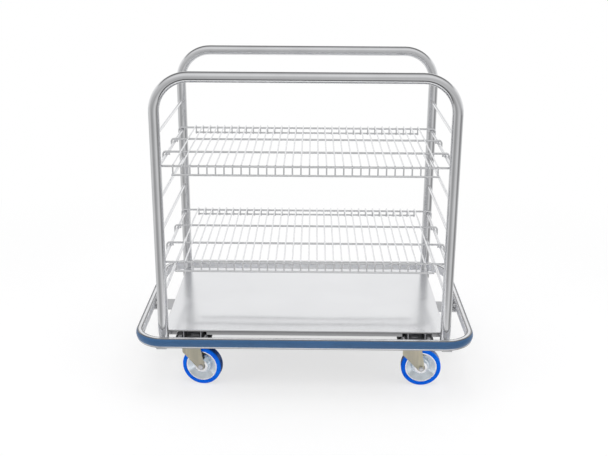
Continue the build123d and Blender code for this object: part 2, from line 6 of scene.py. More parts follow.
import bmesh
import bpy
from bpy.props import FloatProperty, FloatVectorProperty, IntProperty, PointerProperty
from mathutils import Matrix, Vector


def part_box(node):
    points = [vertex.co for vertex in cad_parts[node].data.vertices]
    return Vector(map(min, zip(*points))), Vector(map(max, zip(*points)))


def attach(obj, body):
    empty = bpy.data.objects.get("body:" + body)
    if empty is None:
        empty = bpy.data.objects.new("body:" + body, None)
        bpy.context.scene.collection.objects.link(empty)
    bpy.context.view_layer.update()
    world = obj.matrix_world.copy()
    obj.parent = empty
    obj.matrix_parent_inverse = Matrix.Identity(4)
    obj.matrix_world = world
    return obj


bl_info = {
    "name": "Case Cart Looks",
    "version": (1, 0, 0),
    "blender": (4, 5, 0),
    "location": "View3D > Sidebar > Case Cart",
    "description": "Gives a packed case cart its finishes, welds, floor, lights and camera",
    "category": "Object",
}

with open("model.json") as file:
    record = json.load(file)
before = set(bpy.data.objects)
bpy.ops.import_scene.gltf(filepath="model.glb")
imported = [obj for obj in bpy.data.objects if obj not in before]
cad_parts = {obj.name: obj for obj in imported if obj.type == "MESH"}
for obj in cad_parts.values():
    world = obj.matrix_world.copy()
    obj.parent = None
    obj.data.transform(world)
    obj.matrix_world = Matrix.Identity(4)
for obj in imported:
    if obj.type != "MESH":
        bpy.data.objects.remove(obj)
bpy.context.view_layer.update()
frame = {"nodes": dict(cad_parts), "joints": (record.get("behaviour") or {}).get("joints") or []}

CORNERS = ("fl", "fr", "rl", "rr")
SHELVES = ("upper", "lower")
TUBE_NODES = ("front_frame_tube", "rear_frame_tube")
ROD_NODES = ("left_side_rods", "right_side_rods")
RAIL_NODES = ("left_base_rail", "right_base_rail", "deck_stiffeners")
BRACKET_NODES = ("bumper_cross_bar", "corner_brackets", "bumper_angle_brackets")
FASTENER_NODES = (
    "bumper_bolts",
    "bumper_nuts",
    "caster_bolts",
    "caster_washers",
    "caster_nuts",
)

# Colours that lie over a finish's own, from light wear, grease and soil, and a painted highlight on
# the wheel cores' rims
WORN_ZINC = (0.64, 0.61, 0.52)
TYRE_SOIL = (0.005, 0.026, 0.085)
BRIGHT_RIM = (0.97, 0.97, 0.98)
GREASY_BALL, CLEAN_BALL = (0.50, 0.48, 0.44), (0.74, 0.73, 0.72)
OILY_BUSH, DRY_BUSH = (0.20, 0.20, 0.21), (0.42, 0.41, 0.40)
DULL_WELD, CLEAN_WELD = (0.52, 0.51, 0.50), (0.78, 0.78, 0.79)

# A bead's points round its ring, sides of its section, steps it was laid in and their depth
ROD_BEAD = {"points": 36, "sides": 8, "steps": 9, "ripple": 0.09}
POST_BEAD = {"points": 72, "sides": 10, "steps": 20, "ripple": 0.08}

# Light that polished metal mirrors, by height in degrees, before and behind the cart
FRONT_WALL = (
    (-90, 0.78),
    (-66, 0.74),
    (-59, 0.60),
    (-53, 0.10),
    (-37, 0.10),
    (-22, 0.42),
    (0, 0.50),
    (12, 0.60),
    (30, 0.64),
    (44, 0.84),
    (66, 0.86),
    (78, 0.70),
    (90, 0.55),
)
BACK_WALL = (
    (-90, 0.78),
    (-30, 0.80),
    (-4, 1.00),
    (29, 1.00),
    (36, 0.14),
    (60, 0.18),
    (75, 0.40),
    (90, 0.55),
)
# The same in a ring below eye level, by bearing in degrees: 0 before the cart, 90 on its right
WALL_RING = (
    (-180, 0.86),
    (-150, 0.82),
    (-115, 0.66),
    (-86, 0.76),
    (-62, 0.58),
    (-42, 0.38),
    (-20, 0.42),
    (2, 0.58),
    (24, 0.76),
    (42, 0.66),
    (58, 0.36),
    (74, 0.26),
    (92, 0.44),
    (116, 0.66),
    (140, 0.84),
    (180, 0.86),
)
# Heights in degrees between which that ring fades in and out
RING_FOOT = (-31, -26)
RING_TOP = (-6, 3)

# Each lamp's name, place, size and the setting that holds its power
LAMPS = (
    ("lamp_overhead", (0.0, -0.4, 3.4), (3.0, 2.4), "key_power"),
    ("lamp_left", (-3.2, -1.6, 1.9), (1.2, 2.2), "side_power"),
    ("lamp_right", (3.2, -1.6, 1.9), (1.2, 2.2), "side_power"),
    ("lamp_rear", (0.0, 3.2, 2.4), (2.4, 1.2), "side_power"),
)
LAMP_TARGET = (0.0, 0.0, 0.5)


def joint_named(name):
    return next(joint for joint in frame["joints"] if joint["name"] == name)


# Properties


def colour_property(name, description, default):
    return FloatVectorProperty(
        name=name,
        description=description,
        subtype="COLOR",
        size=3,
        min=0.0,
        max=1.0,
        default=default,
    )


def share_property(name, description, default):
    return FloatProperty(
        name=name,
        description=description,
        subtype="FACTOR",
        min=0.0,
        max=1.0,
        default=default,
    )


def length_property(name, description, default):
    return FloatProperty(
        name=name,
        description=description,
        subtype="DISTANCE",
        unit="LENGTH",
        min=0.0,
        default=default,
    )


def power_property(name, description, default):
    return FloatProperty(
        name=name,
        description=description,
        subtype="POWER",
        unit="POWER",
        min=0.0,
        default=default,
    )


def angle_property(name, description, degrees):
    return FloatProperty(
        name=name,
        description=description,
        subtype="ANGLE",
        default=radians(degrees),
    )


def count_property(name, description, default):
    return IntProperty(name=name, description=description, min=2, default=default)


class CaseCartMetal(bpy.types.PropertyGroup):
    """Colours and gloss of the cart's metals."""

    tube_colour: colour_property(
        "Tube colour", "Stainless steel of the bent frames", (0.76, 0.765, 0.78)
    )
    tube_roughness: share_property("Tube roughness", "Polish of the bent frames", 0.08)
    wire_colour: colour_property(
        "Wire colour", "Stainless wire of the shelves and rods", (0.84, 0.845, 0.86)
    )
    wire_roughness: share_property("Wire roughness", "Polish of the wires", 0.20)
    deck_colour: colour_property("Deck colour", "Satin sheet of the deck", (0.78, 0.785, 0.80))
    deck_roughness: share_property("Deck roughness", "Satin of the deck", 0.13)
    # Below this reach the deck's flanges take painted shade
    deck_edge: length_property(
        "Deck edge", "How far the deck's satin finish reaches down over its edge", 0.0012
    )
    channel_radius: length_property(
        "Channel corner", "Radius of the bumper channel's corners", 0.095
    )
    channel_depth: length_property(
        "Polished depth", "How far in from its lips the bumper channel is polished", 0.0170
    )
    # Reach of the painted light on the channel's web face
    web_face: length_property(
        "Web face", "How far the channel's matt finish reaches into its bends", 0.0006
    )
    # Width of the channel's bends that take painted shade
    channel_bend: length_property(
        "Channel bends", "Width of the darker, burnished bends of the channel", 0.0048
    )
    base_colour: colour_property(
        "Base colour", "Mill finish of the brackets and the cross bar", (0.62, 0.625, 0.64)
    )
    # The rails' darker colour is painted shade under the deck
    rail_colour: colour_property(
        "Rail colour", "Darker mill finish of the rails under the deck", (0.34, 0.345, 0.36)
    )
    plate_colour: colour_property(
        "Plate colour", "Dull zinc of the caster plates and kingpins", (0.80, 0.80, 0.82)
    )
    zinc_colour: colour_property(
        "Zinc colour", "Yellow plating of the forks", (0.262, 0.232, 0.150)
    )
    # Aluminium, tinted blue as a painted reflection of the tyres
    core_colour: colour_property(
        "Wheel core colour", "Turned aluminium of the wheels", (0.77, 0.84, 0.90)
    )
    # Reach and fade of the painted highlight on the wheel cores' rims
    core_rim: length_property(
        "Core rim", "How far the wheel core's bright rim stands from the wheel's middle", 0.0142
    )
    rim_edge: length_property("Rim edge", "Fade at the inner edge of the bright rim", 0.0006)
    bolt_colour: colour_property(
        "Bolt colour", "Bright plating of bolts and nuts", (0.66, 0.66, 0.67)
    )


class CaseCartPlastic(bpy.types.PropertyGroup):
    """Colours and gloss of the bumper strip and the tyres."""

    vinyl_colour: colour_property(
        "Bumper colour", "Vinyl strip round the base", (0.028, 0.105, 0.245)
    )
    vinyl_roughness: share_property("Bumper roughness", "Gloss of the vinyl", 0.34)
    tread_colour: colour_property("Tyre colour", "Blue of the tyres", (0.0, 0.150, 0.98))
    tread_roughness: share_property("Tyre roughness", "Gloss of the tyres", 0.22)
    running_width: length_property("Running band", "Width of tyre that meets the floor", 0.025)
    running_edge: length_property("Running edge", "Fade at the edges of the running band", 0.003)


class CaseCartWelds(bpy.types.PropertyGroup):
    """Sizes of the welds and counts of what they join."""

    rod_bead: length_property("Rod bead", "Radius of the beads at the rods' ends", 0.0017)
    post_bead: length_property("Post bead", "Radius of the beads at the posts' feet", 0.0024)
    long_wire: length_property("Long wire", "Radius of the shelves' long wires", 0.00325)
    nugget: length_property("Wire weld", "Half the length of a weld where wires cross", 0.0024)
    shelf_wires: count_property("Cross wires", "Cross wires in a shelf", 32)
    long_wires: count_property("Long wires", "Long wires in a shelf", 4)
    side_rods: count_property("Side rods", "Rods on each side", 6)


class CaseCartStudio(bpy.types.PropertyGroup):
    """Floor, walls, lamps and camera."""

    floor_colour: colour_property("Floor colour", "Pale floor and backdrop", (0.95, 0.95, 0.955))
    floor_radius: length_property("Floor radius", "Reach of the lit floor", 9.0)
    shadow_radius: length_property("Shadow reach", "Where the floor has run out to white", 2.4)
    mirror_radius: length_property(
        "Mirrored floor", "Reach of the floor that the cart's metal mirrors", 1.1
    )
    wall_radius: length_property("Wall radius", "Distance of the walls that metal mirrors", 12.0)
    floor_share: share_property("Floor white", "Share of plain white in the near floor", 0.68)
    world_fill: share_property("World fill", "Light from all round", 0.55)
    key_power: power_property("Key power", "Power of the large lamp overhead", 60.0)
    side_power: power_property("Side power", "Power of each lamp beside the cart", 20.0)
    camera_place: FloatVectorProperty(
        name="Camera place",
        description="Where the camera stands",
        subtype="TRANSLATION",
        unit="LENGTH",
        size=3,
        default=(0.0235, -2.9147, 1.4186),
    )
    camera_pitch: angle_property("Camera pitch", "How far the camera looks down", 18.27)
    camera_yaw: angle_property("Camera yaw", "How far the camera looks to the right", -0.57)
    camera_roll: angle_property("Camera roll", "Turn of the camera about its line of sight", -0.312)
    camera_lens: FloatProperty(
        name="Camera lens",
        description="Focal length on a 36 mm wide sensor",
        subtype="DISTANCE_CAMERA",
        unit="CAMERA",
        min=1.0,
        default=55.04,
    )


# Shader graphs


def shade(colour, factor):
    """A colour made darker or brighter."""
    return tuple(min(1.0, channel * factor) for channel in colour)


class ShaderGraph:
    """A material's node tree with short ways to add what the finishes share."""

    def __init__(self, name, colour, metallic, roughness):
        self.material = bpy.data.materials.new(name)
        self.material.use_nodes = True
        self.nodes = self.material.node_tree.nodes
        self.links = self.material.node_tree.links
        self.shader = self.nodes["Principled BSDF"]
        self.shader.inputs["Base Color"].default_value = (*colour, 1.0)
        self.shader.inputs["Metallic"].default_value = metallic
        self.shader.inputs["Roughness"].default_value = roughness

    def add(self, kind, **settings):
        node = self.nodes.new(kind)
        for key, value in settings.items():
            setattr(node, key, value)
        return node

    def place(self):
        """Position in the cart's own frame, in metres."""
        return self.add("ShaderNodeTexCoord").outputs["Object"]

    def height(self):
        """Height above the floor, in metres."""
        parts = self.add("ShaderNodeSeparateXYZ")
        self.links.new(self.place(), parts.inputs["Vector"])
        return parts.outputs["Z"]

    def stretched(self, scale, offset=(0.0, 0.0, 0.0)):
        """Position, scaled along each axis so that a texture runs into streaks."""
        mapping = self.add("ShaderNodeMapping")
        mapping.inputs["Location"].default_value = offset
        mapping.inputs["Scale"].default_value = scale
        self.links.new(self.place(), mapping.inputs["Vector"])
        return mapping.outputs["Vector"]

    def noise(self, vector, scale=1.0, detail=3.0, rough=0.55):
        node = self.add("ShaderNodeTexNoise")
        node.inputs["Scale"].default_value = scale
        node.inputs["Detail"].default_value = detail
        node.inputs["Roughness"].default_value = rough
        self.links.new(vector, node.inputs["Vector"])
        return node.outputs["Fac"]

    def spread(self, value, low=0.0, high=1.0, in_low=0.3, in_high=0.7):
        """Maps a value from one range to another; a noise mostly lies between 0.3 and 0.7."""
        node = self.add("ShaderNodeMapRange")
        node.inputs["From Min"].default_value = in_low
        node.inputs["From Max"].default_value = in_high
        node.inputs["To Min"].default_value = low
        node.inputs["To Max"].default_value = high
        self.links.new(value, node.inputs["Value"])
        return node.outputs["Result"]

    def maths(self, operation, first, second=None):
        node = self.add("ShaderNodeMath", operation=operation)
        for socket, value in zip(node.inputs, (first, second)):
            if isinstance(value, (int, float)):
                socket.default_value = value
            elif value is not None:
                self.links.new(value, socket)
        return node.outputs["Value"]

    def vectors(self, operation, first, second=None):
        """A vector step; length and dot product give a number."""
        node = self.add("ShaderNodeVectorMath", operation=operation)
        self.links.new(first, node.inputs[0])
        if second is not None:
            node.inputs[1].default_value = second
        return node.outputs["Value" if operation in ("LENGTH", "DOT_PRODUCT") else "Vector"]

    def blend(self, amount, first, second):
        """Mixes two colours by a number."""
        node = self.add("ShaderNodeMix", data_type="RGBA")
        self.links.new(amount, node.inputs["Factor"])
        for name, value in (("A", first), ("B", second)):
            socket = next(s for s in node.inputs if s.name == name and s.type == "RGBA")
            if isinstance(value, tuple):
                socket.default_value = (*value, 1.0)
            else:
                self.links.new(value, socket)
        return next(s for s in node.outputs if s.type == "RGBA")

    def either(self, amount, first, second):
        """Mixes two numbers by a third."""
        node = self.add("ShaderNodeMix", data_type="FLOAT")
        sockets = [socket for socket in node.inputs if socket.type == "VALUE"]
        for socket, value in zip(sockets, (amount, first, second)):
            self.links.new(value, socket)
        return node.outputs[0]

    def shades(self, texture, colour, dark, bright):
        """A colour that a texture varies between two shades of it."""
        return self.blend(self.spread(texture), shade(colour, dark), shade(colour, bright))

    def polish(self, texture, roughness, least, most):
        """Drives the roughness, which a texture varies between two shares of it."""
        share = self.spread(texture, least, most)
        self.drive("Roughness", self.maths("MULTIPLY", share, roughness))

    def relief(self, height, depth, strength, under=None):
        """Bumps from a texture, in metres, laid over other bumps."""
        node = self.add("ShaderNodeBump")
        node.inputs["Strength"].default_value = strength
        node.inputs["Distance"].default_value = depth
        self.links.new(height, node.inputs["Height"])
        if under is not None:
            self.links.new(under, node.inputs["Normal"])
        return node.outputs["Normal"]

    def drive(self, socket, value):
        self.links.new(value, self.shader.inputs[socket])

    def surface(self):
        """The socket that takes the material's last shader."""
        out = next(node for node in self.nodes if node.type == "OUTPUT_MATERIAL")
        return out.inputs["Surface"]


def polished_tube_steel(metal):
    """Stainless tube, belt polished round its girth, with faint clouding."""
    graph = ShaderGraph("polished_tube_steel", metal.tube_colour, 1.0, metal.tube_roughness)
    clouds = graph.noise(graph.place(), scale=9.0, detail=4.0)
    rings = graph.noise(graph.stretched((40.0, 40.0, 2600.0)), detail=2.0)
    ripple = graph.noise(graph.place(), scale=14.0, detail=2.0)
    graph.drive("Base Color", graph.shades(clouds, metal.tube_colour, dark=0.94, bright=1.03))
    graph.polish(rings, metal.tube_roughness, least=0.8, most=1.3)
    rippled = graph.relief(ripple, depth=0.0005, strength=0.5)
    graph.drive("Normal", graph.relief(rings, depth=0.00002, strength=0.4, under=rippled))
    return graph.material


def bright_wire_steel(metal):
    """Drawn and electropolished wire, bright with a slight ripple."""
    graph = ShaderGraph("bright_wire_steel", metal.wire_colour, 1.0, metal.wire_roughness)
    ripple = graph.noise(graph.place(), scale=120.0, detail=2.0)
    graph.drive("Base Color", graph.shades(ripple, metal.wire_colour, dark=0.93, bright=1.04))
    graph.polish(ripple, metal.wire_roughness, least=0.8, most=1.3)
    graph.drive("Normal", graph.relief(ripple, depth=0.00012, strength=0.4))
    return graph.material


def satin_deck_steel(metal):
    """Satin sheet, grained front to back and slightly waved, with painted shade on its flanges,
    darkest at their foot.
    """
    graph = ShaderGraph("satin_deck_steel", metal.deck_colour, 1.0, metal.deck_roughness)
    grain = graph.noise(graph.stretched((1500.0, 6.0, 1500.0)), detail=3.0)
    clouds = graph.noise(graph.place(), scale=3.2, detail=4.0)
    waves = graph.noise(graph.stretched((2.1, 3.6, 1.0), offset=(0.3, 0.1, 0.0)), detail=1.0)
    sheet = graph.shades(clouds, metal.deck_colour, dark=0.965, bright=1.02)
    # Below the top the flanges take painted shade: much darker than the sheet, and darkest at the
    # bottom
    low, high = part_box("deck_pan")
    edge = high.z - metal.deck_edge
    height = graph.height()
    drop = graph.spread(height, low=1.0, high=0.0, in_low=low.z, in_high=edge)
    flange = graph.blend(drop, shade(metal.deck_colour, 0.26), shade(metal.deck_colour, 0.50))
    on_top = graph.maths("GREATER_THAN", height, edge)
    graph.drive("Base Color", graph.blend(on_top, flange, sheet))
    grained = graph.maths("MULTIPLY", graph.spread(grain, 0.85, 1.2), metal.deck_roughness)
    graph.drive("Roughness", graph.maths("MULTIPLY", grained, graph.spread(clouds, 0.92, 1.1)))
    waved = graph.relief(waves, depth=0.004, strength=0.6)
    graph.drive("Normal", graph.relief(grain, depth=0.00002, strength=0.35, under=waved))
    across = graph.add("ShaderNodeCombineXYZ")
    across.inputs["X"].default_value = 1.0
    graph.drive("Tangent", across.outputs["Vector"])
    graph.shader.inputs["Anisotropic"].default_value = 0.95
    return graph.material


def mill_steel(name, colour):
    """Dull rolled bar and sheet, a little blotchy."""
    graph = ShaderGraph(name, colour, 1.0, 0.36)
    blotches = graph.noise(graph.place(), scale=26.0, detail=5.0, rough=0.62)
    grain = graph.noise(graph.stretched((900.0, 14.0, 900.0)), detail=2.0)
    graph.drive("Base Color", graph.shades(blotches, colour, dark=0.86, bright=1.06))
    graph.drive("Roughness", graph.spread(blotches, 0.28, 0.44))
    graph.drive("Normal", graph.relief(grain, depth=0.00003, strength=0.4))
    return graph.material


def channel_masks(graph, metal):
    """Two masks of the bumper channel: all but its web, and the bends of its outer side, which take
    painted shade.
    """
    low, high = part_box("bumper_channel")
    radius, depth = metal.channel_radius, metal.channel_depth
    place = graph.vectors("ABSOLUTE", graph.place())
    place = graph.vectors("SUBTRACT", place, (high.x - radius, high.y - radius, 1.0))
    reach = graph.vectors("LENGTH", graph.vectors("MAXIMUM", place, (0.0, 0.0, 0.0)))
    outside = graph.maths("GREATER_THAN", reach, radius - depth + metal.web_face)
    half_height, half_depth = (high.z - low.z) / 2, depth / 2
    from_middle = graph.maths("SUBTRACT", graph.height(), low.z + half_height)
    from_middle = graph.maths("ABSOLUTE", from_middle)
    edge = graph.maths("GREATER_THAN", from_middle, half_height - metal.channel_bend / 2)
    from_rib = graph.maths("ABSOLUTE", graph.maths("SUBTRACT", reach, radius - half_depth))
    bend = graph.maths("GREATER_THAN", from_rib, half_depth - metal.channel_bend)
    return outside, graph.maths("MULTIPLY", edge, bend)


def polished_channel_steel(metal):
    """Rolled bumper channel: polished outside with painted shade on its bends; its face to the deck
    is pale and matt, a painted light.
    """
    graph = ShaderGraph("polished_channel_steel", metal.tube_colour, 1.0, 0.18)
    grain = graph.noise(graph.stretched((30.0, 30.0, 3200.0)), detail=2.0)
    clouds = graph.noise(graph.place(), scale=12.0, detail=4.0)
    clouded = graph.shades(clouds, metal.tube_colour, dark=0.93, bright=1.04)
    outside, bends = channel_masks(graph, metal)
    # Painted shade: the bends are darkened to about a third of the steel's colour
    outer = graph.blend(bends, clouded, shade(metal.tube_colour, 0.34))
    # Painted light: the web's face to the deck is near white and not metallic, so it reads as lit
    graph.drive("Base Color", graph.blend(outside, shade(metal.tube_colour, 1.25), outer))
    graph.drive("Metallic", outside)
    matt, polished = graph.spread(clouds, 0.50, 0.62), graph.spread(grain, 0.12, 0.20)
    graph.drive("Roughness", graph.either(outside, matt, polished))
    graph.drive("Normal", graph.relief(clouds, depth=0.0004, strength=0.35))
    return graph.material


def bumper_vinyl(plastic):
    """Extruded vinyl: a soft sheen, faint draw lines and small scuffs."""
    graph = ShaderGraph("bumper_vinyl", plastic.vinyl_colour, 0.0, plastic.vinyl_roughness)
    clouds = graph.noise(graph.place(), scale=7.0, detail=5.0)
    lines = graph.noise(graph.stretched((3.0, 3.0, 1400.0)), detail=2.0)
    scuffs = graph.noise(graph.stretched((60.0, 60.0, 240.0)), detail=6.0, rough=0.7)
    shaded = graph.shades(clouds, plastic.vinyl_colour, dark=0.90, bright=1.10)
    worn = graph.spread(scuffs, high=0.25, in_low=0.62, in_high=0.80)
    graph.drive("Base Color", graph.blend(worn, shaded, shade(plastic.vinyl_colour, 1.8)))
    graph.polish(lines, plastic.vinyl_roughness, least=0.853, most=1.176)
    graph.drive("Normal", graph.relief(lines, depth=0.00005, strength=0.35))
    graph.shader.inputs["Specular IOR Level"].default_value = 0.55
    return graph.material


def yellow_zinc(metal):
    """Yellow zinc plate: khaki, streaked down the sheet, paler where its edges are worn."""
    graph = ShaderGraph("yellow_zinc", metal.zinc_colour, 1.0, 0.34)
    drift = graph.noise(graph.place(), scale=22.0, detail=3.0)
    streaks = graph.noise(graph.stretched((230.0, 230.0, 7.0)), detail=3.0, rough=0.6)
    bands = graph.noise(graph.stretched((62.0, 62.0, 5.0), offset=(4.0, 1.0, 0.0)), detail=1.0)
    grains = graph.noise(graph.place(), scale=420.0, detail=4.0, rough=0.65)
    red, green, blue = metal.zinc_colour
    greener = (red * 0.88, green * 0.98, blue * 0.90)
    pinker = (red * 1.16, green * 1.06, blue * 1.10)
    banded = graph.spread(bands, 0.7, 1.4)
    streaked = graph.maths("MULTIPLY", graph.spread(streaks, 0.78, 1.22), banded)
    tone = graph.add("ShaderNodeVectorMath", operation="SCALE")
    graph.links.new(graph.blend(graph.spread(drift), greener, pinker), tone.inputs[0])
    graph.links.new(streaked, tone.inputs["Scale"])
    edges = graph.add("ShaderNodeNewGeometry").outputs["Pointiness"]
    worn = graph.spread(edges, high=0.55, in_low=0.52, in_high=0.60)
    graph.drive("Base Color", graph.blend(worn, tone.outputs["Vector"], WORN_ZINC))
    graph.drive("Roughness", graph.spread(grains, 0.24, 0.42))
    creased = graph.relief(bands, depth=0.0012, strength=0.5)
    graph.drive("Normal", graph.relief(streaks, depth=0.00008, strength=0.5, under=creased))
    return graph.material


def dull_zinc(metal):
    """Thick dull zinc on the caster plates and kingpins: pale and matt."""
    graph = ShaderGraph("dull_zinc", metal.plate_colour, 0.15, 0.5)
    spangles = graph.noise(graph.place(), scale=120.0, detail=4.0, rough=0.6)
    graph.drive("Base Color", graph.shades(spangles, metal.plate_colour, dark=0.84, bright=1.0))
    graph.drive("Roughness", graph.spread(spangles, 0.38, 0.58))
    graph.drive("Normal", graph.relief(spangles, depth=0.00006, strength=0.4))
    return graph.material


def bright_plate(metal):
    """Bright zinc on bolts, nuts and washers."""
    graph = ShaderGraph("bright_plate", metal.bolt_colour, 1.0, 0.28)
    grains = graph.noise(graph.place(), scale=500.0, detail=4.0, rough=0.6)
    tint = graph.noise(graph.place(), scale=60.0, detail=2.0)
    graph.drive("Base Color", graph.shades(tint, metal.bolt_colour, dark=0.82, bright=1.08))
    graph.drive("Roughness", graph.spread(grains, 0.20, 0.38))
    graph.drive("Normal", graph.relief(grains, depth=0.00004, strength=0.3))
    return graph.material


def ball_steel(metal):
    """Hardened balls with a film of grease."""
    graph = ShaderGraph("ball_steel", metal.bolt_colour, 1.0, 0.12)
    film = graph.noise(graph.place(), scale=180.0)
    graph.drive("Base Color", graph.blend(film, GREASY_BALL, CLEAN_BALL))
    graph.drive("Roughness", graph.spread(film, 0.08, 0.30))
    return graph.material


def wheel_reach(graph, corner):
    """How far a point is from a wheel's axle, and how far it is from the wheel's middle."""
    roll = joint_named(f"{corner}_wheel_roll")
    away = graph.vectors("SUBTRACT", graph.place(), roll["pos_m"])
    radial = graph.vectors("LENGTH", graph.vectors("CROSS_PRODUCT", away, roll["axis"]))
    sideways = graph.maths("ABSOLUTE", graph.vectors("DOT_PRODUCT", away, roll["axis"]))
    return radial, sideways


def running_band(graph, plastic, corner):
    """Mask of the band of tyre that runs on the floor, with faded edges."""
    radial, sideways = wheel_reach(graph, corner)
    low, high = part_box(f"{corner}_wheel_tread")
    radius, half_width = (high.z - low.z) / 2, plastic.running_width / 2
    edge = plastic.running_edge
    rolling = graph.spread(radial, in_low=radius - edge, in_high=radius)
    band = graph.spread(sideways, low=1.0, high=0.0, in_low=half_width - edge, in_high=half_width)
    return graph.maths("MULTIPLY", rolling, band)


def tyre_polyurethane(plastic, corner):
    """Moulded polyurethane: saturated, glossy, slightly milky, its running band soiled."""
    name = f"tyre_polyurethane_{corner}"
    graph = ShaderGraph(name, plastic.tread_colour, 0.0, plastic.tread_roughness)
    milk = graph.noise(graph.place(), scale=34.0)
    grit = graph.noise(graph.place(), scale=700.0, detail=4.0, rough=0.7)
    red, green, blue = plastic.tread_colour
    deep = (red, green * 0.78, blue * 0.88)
    pale = (red, min(1.0, green * 1.25), min(1.0, blue * 1.08))
    clean = graph.blend(graph.spread(milk), deep, pale)
    soiled = running_band(graph, plastic, corner)
    soil = graph.maths("MULTIPLY", graph.spread(grit, 0.70, 0.98), soiled)
    graph.drive("Base Color", graph.blend(soil, clean, TYRE_SOIL))
    graph.polish(grit, plastic.tread_roughness, least=0.818, most=1.364)
    graph.drive("Normal", graph.relief(grit, depth=0.00005, strength=0.3))
    graph.shader.inputs["Specular IOR Level"].default_value = 0.3
    graph.shader.inputs["Specular Tint"].default_value = (0.25, 0.6, 1.0, 1.0)
    return graph.material


def turned_core(metal, corner):
    """Turned aluminium, tinted blue as a painted reflection of the tyre: fine rings about the
    wheel's own axis and a painted highlight on its rim.
    """
    graph = ShaderGraph(f"turned_core_{corner}", metal.core_colour, 1.0, 0.14)
    radial, sideways = wheel_reach(graph, corner)
    ring_line = graph.add("ShaderNodeCombineXYZ")
    graph.links.new(radial, ring_line.inputs["X"])
    rings = graph.noise(ring_line.outputs["Vector"], scale=2200.0, rough=0.7)
    clouds = graph.noise(graph.place(), scale=38.0, detail=4.0)
    turned = graph.shades(clouds, metal.core_colour, dark=0.86, bright=1.05)
    # Painted highlight: the rim of the core is near white
    inner_edge = metal.core_rim - metal.rim_edge
    rim = graph.spread(sideways, in_low=inner_edge, in_high=metal.core_rim)
    graph.drive("Base Color", graph.blend(rim, turned, BRIGHT_RIM))
    graph.drive("Roughness", graph.spread(rings, 0.10, 0.22))
    graph.drive("Normal", graph.relief(rings, depth=0.00005, strength=0.4))
    return graph.material


def bush_steel(metal):
    """Sintered bush, dark and slightly oily."""
    graph = ShaderGraph("bush_steel", metal.bolt_colour, 1.0, 0.4)
    grains = graph.noise(graph.place(), scale=600.0, detail=4.0, rough=0.7)
    graph.drive("Base Color", graph.blend(grains, OILY_BUSH, DRY_BUSH))
    graph.drive("Roughness", graph.spread(grains, 0.30, 0.50))
    return graph.material


def weld_steel(metal):
    """Cleaned weld, brighter than a bar and a little uneven."""
    graph = ShaderGraph("weld_steel", metal.tube_colour, 1.0, 0.3)
    scales = graph.noise(graph.place(), scale=650.0)
    graph.drive("Base Color", graph.blend(scales, DULL_WELD, CLEAN_WELD))
    graph.drive("Roughness", graph.spread(scales, 0.20, 0.40))
    graph.drive("Normal", graph.relief(scales, depth=0.0001, strength=0.5))
    return graph.material


def dress(names, material):
    """Gives each node that material in every slot."""
    for name in names:
        mesh = frame["nodes"][name].data
        if not mesh.materials:
            mesh.materials.append(material)
        for index in range(len(mesh.materials)):
            mesh.materials[index] = material


# Mesh makers


def new_object(name, bm, material):
    """Turns a bmesh into an object of the scene."""
    mesh = bpy.data.meshes.new(name)
    bm.to_mesh(mesh)
    bm.free()
    mesh.materials.append(material)
    made = bpy.data.objects.new(name, mesh)
    bpy.context.scene.collection.objects.link(made)
    return made


def finish_piece(name, bm, body, material):
    """Turns a bmesh into a smooth piece that rides on a body."""
    bmesh.ops.recalc_face_normals(bm, faces=bm.faces)
    piece = new_object(name, bm, material)
    for polygon in piece.data.polygons:
        polygon.use_smooth = True
    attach(piece, body)


def lay_bead(bm, at, radius, points, sides, steps, ripple):
    """A closed bead laid in steps; at(angle) gives its place and its outward direction."""
    places, outward, radii = [], [], []
    for index in range(points):
        place, out = at(2 * pi * index / points)
        places.append(place)
        outward.append(out)
        radii.append(radius * (1.0 + ripple * sin(2 * pi * steps * index / points)))
    rings = []
    for index, place in enumerate(places):
        along = (places[(index + 1) % points] - places[index - 1]).normalized()
        out = (outward[index] - along * outward[index].dot(along)).normalized()
        up = along.cross(out)
        ring = []
        for side in range(sides):
            angle = 2 * pi * side / sides
            spoke = out * cos(angle) + up * sin(angle)
            ring.append(bm.verts.new(place + spoke * radii[index]))
        rings.append(ring)
    for index in range(points):
        ring, following = rings[index], rings[(index + 1) % points]
        for side in range(sides):
            after = (side + 1) % sides
            bm.faces.new((ring[side], ring[after], following[after], following[side]))


def add_nugget(bm, centre, reach):
    """A small flattened blob of weld metal between two wires."""
    made = bmesh.ops.create_icosphere(bm, subdivisions=2, radius=1.0)
    bmesh.ops.scale(bm, vec=reach, verts=made["verts"])
    bmesh.ops.translate(bm, vec=centre, verts=made["verts"])


def evenly(first, last, count):
    """So many places from the first to the last."""
    return [first + (last - first) * number / (count - 1) for number in range(count)]


# Operators


class CartOperator(bpy.types.Operator):
    """Shared base of the cart's operators."""

    bl_options = {"REGISTER", "UNDO"}

    @property
    def metal(self):
        return bpy.context.scene.case_cart_metal

    @property
    def plastic(self):
        return bpy.context.scene.case_cart_plastic

    @property
    def welds(self):
        return bpy.context.scene.case_cart_welds

    @property
    def studio(self):
        return bpy.context.scene.case_cart_studio


class CASECART_OT_finish_frames(CartOperator):
    """Polish the bent tubes and the side rods"""

    bl_idname = "casecart.finish_frames"
    bl_label = "Finish Frames"

    def execute(self, context):
        dress(TUBE_NODES, polished_tube_steel(self.metal))
        dress(ROD_NODES, bright_wire_steel(self.metal))
        return {"FINISHED"}


class CASECART_OT_finish_shelves(CartOperator):
    """Give the shelf wires their bright finish"""

    bl_idname = "casecart.finish_shelves"
    bl_label = "Finish Shelves"

    def execute(self, context):
        wire = bright_wire_steel(self.metal)
        for shelf in SHELVES:
            dress([f"{shelf}_{kind}_wires" for kind in ("long", "cross", "lip")], wire)
        return {"FINISHED"}


